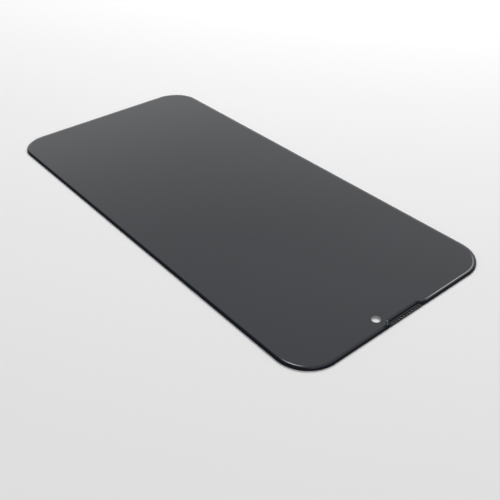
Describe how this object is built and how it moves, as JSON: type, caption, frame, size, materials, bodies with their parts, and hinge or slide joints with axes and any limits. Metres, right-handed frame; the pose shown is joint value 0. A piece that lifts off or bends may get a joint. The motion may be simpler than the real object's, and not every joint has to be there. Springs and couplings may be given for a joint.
{
  "type": "phone screen protector",
  "caption": "Dark full-cover glass sheet for a phone screen, with rounded corners, a ground edge, a round camera hole and an earpiece notch that holds a perforated dust strip.",
  "frame": {"origin": "centre of the underside, which is the adhesive side", "axes": "+Y along the sheet's length towards the earpiece end, +Z out of the face that is touched, +X to the right with the face in view and the earpiece end up"},
  "size_m": [0.0684, 0.144, 0.0005],
  "materials": {
    "dark_glass": "polished dark tinted glass with a ground and polished edge",
    "mesh_black": "satin black, perforated"
  },
  "bodies": {
    "root": {"tempered_glass": "dark_glass", "earpiece_mesh": "mesh_black"}
  },
  "joints": []
}
